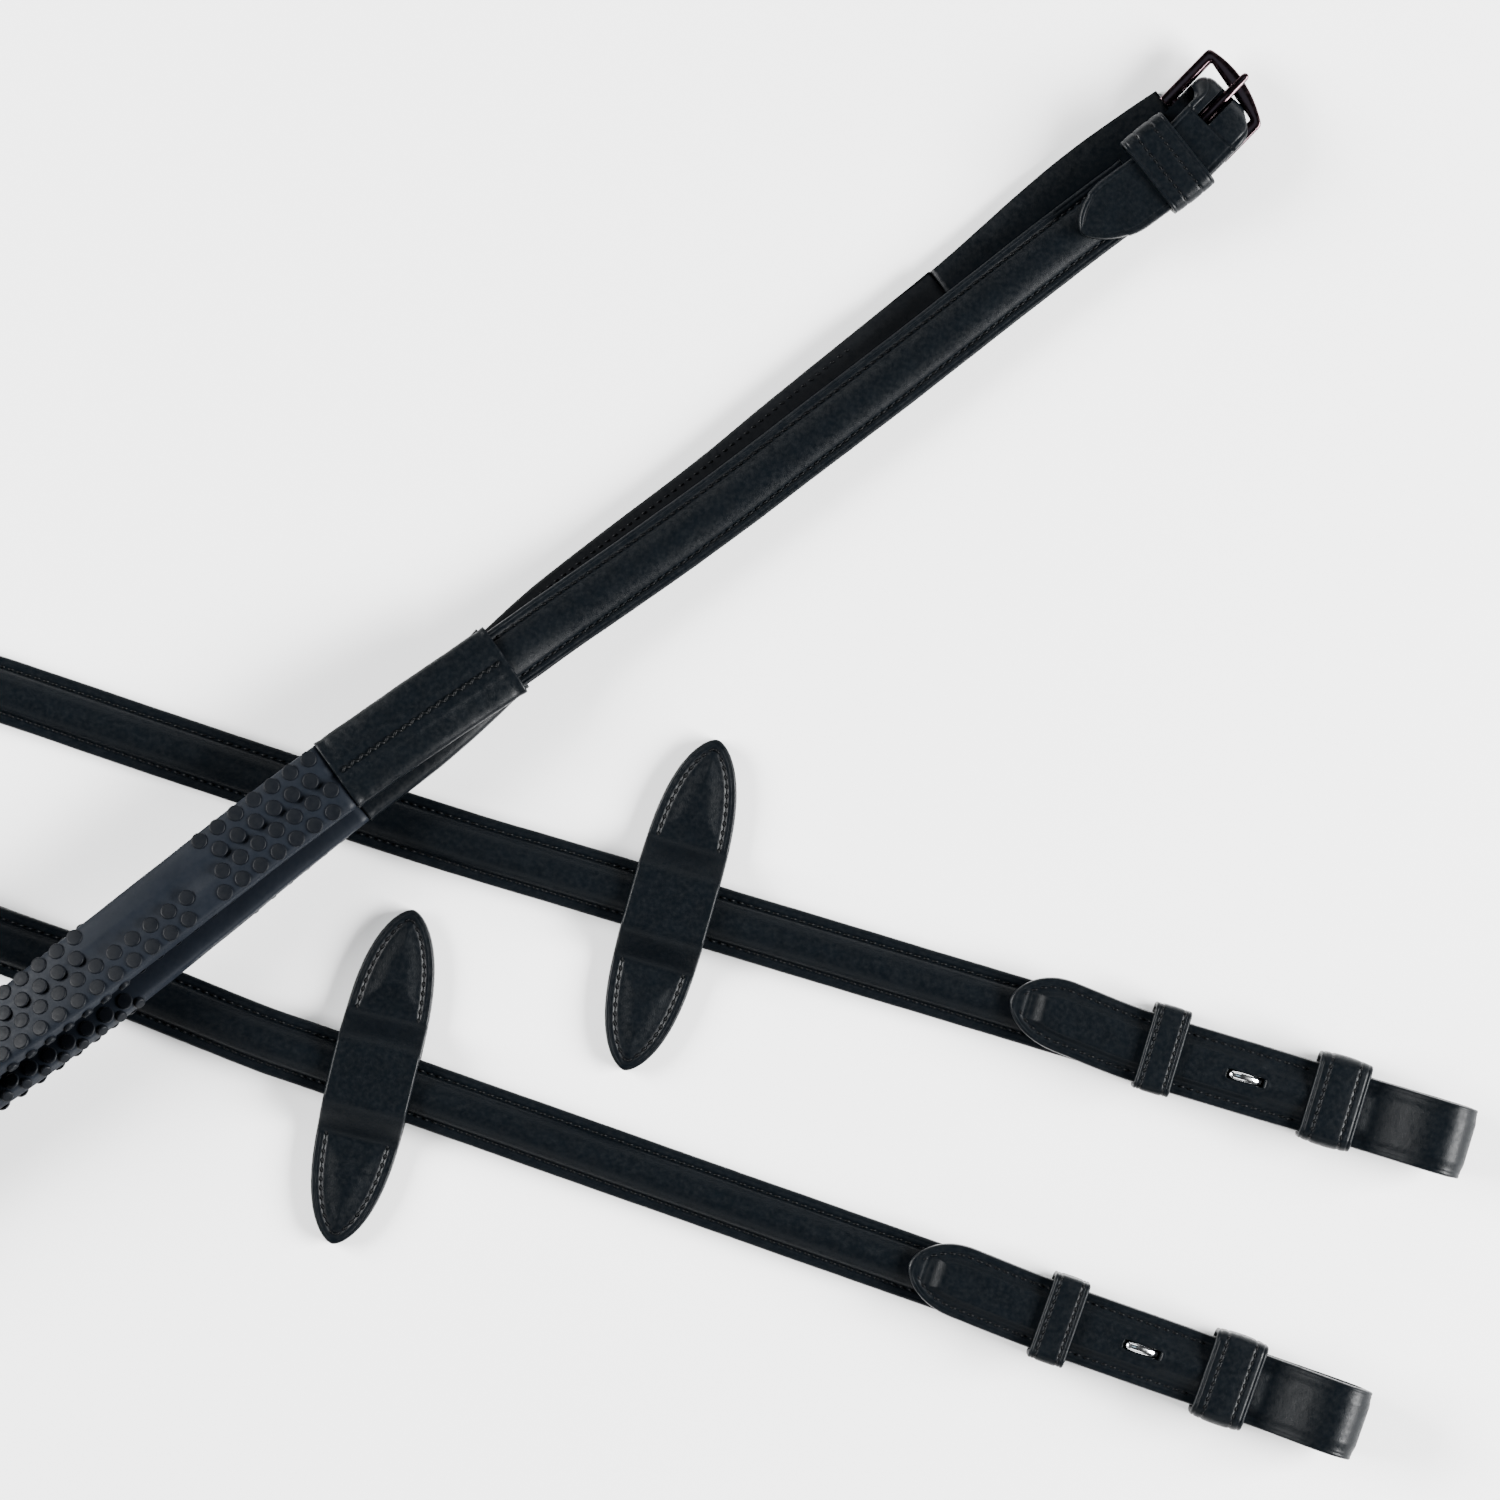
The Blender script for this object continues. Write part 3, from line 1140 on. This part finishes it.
class REINS_OT_buckle(bpy.types.Operator):
    """Build the hand buckle, its keeper and the point strap that it holds"""
    bl_idname = "reins.buckle"
    bl_label = "Hand Buckle"

    def execute(self, context):
        point_tip()
        plain_strap()
        buckle_frame()
        buckle_tongue()
        band(BAR.turned(-0.13, (-12.3, -1.2, 0)), "hand_keeper_band", 0, 12.8, 22.4, -0.7, 8.6,
             1.2, 2.2, 0.25, "root", ["buckle_keeper"], 4.0)
        return {"FINISHED"}


class REINS_OT_inner(bpy.types.Operator):
    """Give the pieces that keep their design shape their finishes"""
    bl_idname = "reins.inner"
    bl_label = "Inner Pieces"

    def execute(self, context):
        slots = {part["node"]: part["material_slot"] for part in frame["record"]["subparts"]}
        for node, slot in slots.items():
            obj = bpy.data.objects.get(node)
            if obj is None:
                raise RuntimeError(f"no object for node {node}")
            obj.data.materials.clear()
            obj.data.materials.append(finish_of(slot))
        return {"FINISHED"}


# ---------------------------------------------------------------- stage

# Lamps: name, place from the middle of the layout, size, power and colour.
LAMPS = [
    ("overhead", (0.1, 0.2, 2.6), (1.0, 1.0), 2.0, (0.62, 0.85, 1.0)),
    ("key_right", (1.6, -0.3, 0.85), (1.2, 0.8), 230.0, (1, 1, 1)),
    ("key_left", (-1.6, 0.4, 0.85), (1.2, 0.8), 150.0, (1, 1, 1)),
    ("rim_back", (0.3, 1.6, 1.0), (1.4, 0.4), 9.0, (1, 1, 1)),
    ("rim_front", (-0.3, -1.6, 1.0), (1.4, 0.4), 9.0, (1, 1, 1)),
]


def soft_light(name, place, aim, size, power, colour):
    """A large soft lamp that points at a place. Lamps look along -Z."""
    data = bpy.data.lights.new(name, "AREA")
    data.shape = "RECTANGLE"
    data.size, data.size_y = size
    data.energy = power
    data.color = colour
    lamp = bpy.data.objects.new(name, data)
    bpy.context.scene.collection.objects.link(lamp)
    lamp.location = place
    lamp.rotation_euler = Vector(aim - place).to_track_quat("-Z", "Y").to_euler()


class REINS_OT_stage(bpy.types.Operator):
    """Build the pale floor, the soft lights and the camera that looks straight down"""
    bl_idname = "reins.stage"
    bl_label = "Stage"

    def execute(self, context):
        view = context.scene.rein_view
        middle = -CENTRE / 1000
        floor = bpy.data.meshes.new("floor")
        n = 24
        u = np.linspace(-4, 4, n)
        gx, gy = np.meshgrid(u, u, indexing="ij")
        verts = np.stack([gx, gy, np.full_like(gx, -0.0002)], -1).reshape(-1, 3)
        index = np.arange(n * n).reshape(n, n)
        quads = np.stack([index[:-1, :-1], index[1:, :-1], index[1:, 1:], index[:-1, 1:]], -1)
        floor.from_pydata(verts.tolist(), [], quads.reshape(-1, 4).tolist())
        material, tree, shader = new_shader("pale_floor", Roughness=0.9, Specular_IOR_Level=0.1)
        tree.links.new(tint(tree, noise(tree, 6, 2), (0.9, 0.9, 0.9), (0.93, 0.93, 0.93)),
                       shader.inputs["Base Color"])
        floor.materials.append(material)
        floor_obj = bpy.data.objects.new("floor", floor)
        context.scene.collection.objects.link(floor_obj)

        world = bpy.data.worlds.new("studio")
        world.use_nodes = True
        background = world.node_tree.nodes["Background"]
        background.inputs["Color"].default_value = (0.9, 0.95, 1.0, 1)
        background.inputs["Strength"].default_value = view.fill
        context.scene.world = world
        for name, offset, size, power, colour in LAMPS:
            soft_light(name, middle + offset, middle, size, power * view.power, colour)

        data = bpy.data.cameras.new("camera")
        height = view.camera_height
        data.sensor_width = 36
        data.lens = 36 * (height - 0.005) / view.frame_width
        data.clip_end = 20
        camera = bpy.data.objects.new("camera", data)
        context.scene.collection.objects.link(camera)
        camera.location = middle + [0, 0, height]
        camera.rotation_euler = (0, 0, 0)
        context.scene.camera = camera
        return {"FINISHED"}


# ---------------------------------------------------------------- properties

def length_prop(name, description, default):
    """A length in metres."""
    return bpy.props.FloatProperty(name=name, description=description, default=default,
                                   min=0, unit="LENGTH", subtype="DISTANCE", precision=4)


def colour_prop(name, description, default):
    """A colour without alpha."""
    return bpy.props.FloatVectorProperty(name=name, description=description, default=default,
                                         size=3, min=0, max=1, subtype="COLOR")


class ReinSizes(bpy.types.PropertyGroup):
    """Sizes of the pieces"""
    hand_width: length_prop("Hand strap width", "Width of the hand straps", 0.0165)
    bit_width: length_prop("Bit strap width", "Width of the straps at the bit end", 0.0162)
    billet_width: length_prop("Billet width", "Width of the folded billets", 0.0182)
    keeper_width: length_prop("Keeper width", "Outer width of the keepers", 0.0214)
    stop_length: length_prop("Stop length", "Rein stop, tip to tip", 0.086)
    stop_width: length_prop("Stop width", "Rein stop, side to side", 0.0214)
    stud_pitch: length_prop("Stud pitch", "Distance between grip studs in a row", 0.0056)
    stud_size: length_prop("Stud size", "Diameter of a grip stud", 0.0041)
    stitch_pitch: length_prop("Stitch pitch", "Distance between stitches", 0.0023)


class ReinLooks(bpy.types.PropertyGroup):
    """Colours of the materials"""
    leather: colour_prop("Leather", "Top leather", (0.0009, 0.0016, 0.0024))
    lining: colour_prop("Lining", "Lining leather", (0.0008, 0.0012, 0.0018))
    rubber: colour_prop("Rubber", "Rubber of the grips", (0.0036, 0.0050, 0.0076))
    thread: colour_prop("Thread", "Sewing thread", (0.0005, 0.0008, 0.0012))
    gunmetal: colour_prop("Gunmetal", "Plating of the hand buckle", (0.060, 0.036, 0.042))
    nickel: colour_prop("Nickel", "Plating of the hook studs", (0.86, 0.87, 0.90))


class ReinView(bpy.types.PropertyGroup):
    """Camera and light"""
    camera_height: length_prop("Camera height", "Height of the camera over the floor", 2.2)
    frame_width: length_prop("Frame width", "Width that the camera sees", 0.375)
    power: bpy.props.FloatProperty(name="Light", description="Strength of the lamps",
                                   default=1.0, min=0)
    fill: bpy.props.FloatProperty(name="Fill", description="Strength of the surrounding light",
                                  default=0.04, min=0)


class REINS_PT_panel(bpy.types.Panel):
    """Buttons and settings of the reins"""
    bl_idname = "REINS_PT_panel"
    bl_label = "Leather Reins"
    bl_space_type = "VIEW_3D"
    bl_region_type = "UI"
    bl_category = "Reins"

    def draw(self, context):
        for operator in OPERATORS:
            self.layout.operator(operator.bl_idname)
        for group in (context.scene.rein_sizes, context.scene.rein_looks, context.scene.rein_view):
            box = self.layout.box()
            for name in group.__annotations__:
                box.prop(group, name)


OPERATORS = [REINS_OT_stage, REINS_OT_inner, REINS_OT_straps, REINS_OT_sleeves, REINS_OT_grips,
             REINS_OT_stops, REINS_OT_billets, REINS_OT_keepers, REINS_OT_buckle]
GROUPS = {"rein_sizes": ReinSizes, "rein_looks": ReinLooks, "rein_view": ReinView}


def register():
    """Register the classes and their settings."""
    for cls in [*GROUPS.values(), *OPERATORS, REINS_PT_panel]:
        bpy.utils.register_class(cls)
    for name, group in GROUPS.items():
        setattr(bpy.types.Scene, name, bpy.props.PointerProperty(type=group))


def unregister():
    """Undo register."""
    for name in GROUPS:
        delattr(bpy.types.Scene, name)
    for cls in [REINS_PT_panel, *OPERATORS, *GROUPS.values()]:
        bpy.utils.unregister_class(cls)


def main():
    """Register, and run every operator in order."""
    register()
    for operator in OPERATORS:
        family, name = operator.bl_idname.split(".")
        getattr(getattr(bpy.ops, family), name)()


if __name__ == "__main__":
    main()
